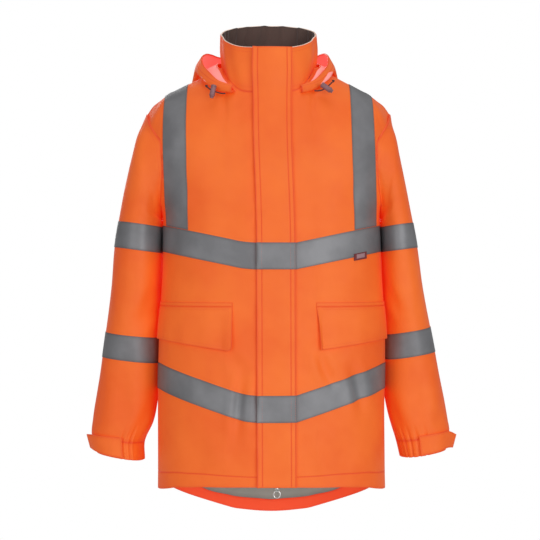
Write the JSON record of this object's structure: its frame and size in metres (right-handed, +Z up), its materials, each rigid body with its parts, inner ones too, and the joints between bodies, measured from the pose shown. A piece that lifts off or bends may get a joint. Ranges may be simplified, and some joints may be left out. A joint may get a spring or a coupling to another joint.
{
  "type": "hooded hi-vis work jacket",
  "caption": "Hollow long work parka with a stand collar, folded hood, storm flap over the zip, flapped pockets, grey reflective tapes and elastic cuffs.",
  "frame": {"origin": "midway between the two points where the shoulder seams meet the neck, where the wearer holds the jacket up", "axes": "+Z up along the jacket, +Y towards its back, so the front with the zip faces -Y; +X towards the wearer's left"},
  "size_m": [0.7275, 0.372, 0.9986],
  "materials": {
    "orange_cloth": "proofed woven polyester, soft sheen",
    "reflective_tape": "glass-bead tape, satin",
    "facing_cloth": "matte cloth",
    "grey_lining": "matte lining cloth",
    "collar_lining": "brushed lining cloth",
    "pink_lining": "matte lining cloth",
    "dark_cord": "braided cord",
    "tab_cloth": "plain woven tab",
    "mauve_plastic": "moulded satin",
    "zip_strip": "moulded teeth on woven tape",
    "zip_metal": "plated, bright"
  },
  "bodies": {
    "root": {"back": "orange_cloth", "back_lining": "grey_lining", "brace_tape_back_left": "reflective_tape", "brace_tape_back_right": "reflective_tape", "brace_tape_front_left": "reflective_tape", "brace_tape_front_right": "reflective_tape", "chest_tab": "tab_cloth", "chest_tape_back": "reflective_tape", "chest_tape_flap": "reflective_tape", "chest_tape_front_left": "reflective_tape", "chest_tape_front_right": "reflective_tape", "collar_lining": "collar_lining", "collar_outer": "orange_cloth", "cord_knot_left": "dark_cord", "cord_knot_right": "dark_cord", "cord_lock_left": "mauve_plastic", "cord_lock_right": "mauve_plastic", "cuff_left": "orange_cloth", "cuff_right": "orange_cloth", "cuff_tab_left": "orange_cloth", "cuff_tab_right": "orange_cloth", "front_left": "orange_cloth", "front_right": "orange_cloth", "hem_facing": "facing_cloth", "hood_cord_left": "dark_cord", "hood_cord_right": "dark_cord", "hood_lining": "pink_lining", "hood_shell": "orange_cloth", "lower_tape_back": "reflective_tape", "lower_tape_flap": "reflective_tape", "lower_tape_front_left": "reflective_tape", "lower_tape_front_right": "reflective_tape", "pocket_bag_left": "grey_lining", "pocket_bag_right": "grey_lining", "pocket_flap_left": "orange_cloth", "pocket_flap_right": "orange_cloth", "pocket_welt_left": "orange_cloth", "pocket_welt_right": "orange_cloth", "sleeve_left": "orange_cloth", "sleeve_right": "orange_cloth", "sleeve_tape_lower_left": "reflective_tape", "sleeve_tape_lower_right": "reflective_tape", "sleeve_tape_upper_left": "reflective_tape", "sleeve_tape_upper_right": "reflective_tape", "storm_flap": "orange_cloth", "zip": "zip_strip", "zip_slider": "zip_metal"},
    "zip_pull": {"zip_pull": "zip_metal"}
  },
  "joints": [
    {"name": "pull_swing", "type": "hinge", "parent": "root", "child": "zip_pull", "pos_m": [0.01, -0.16356, -0.8107], "axis": [1, 0, 0], "range_deg": [-100, 100]}
  ]
}
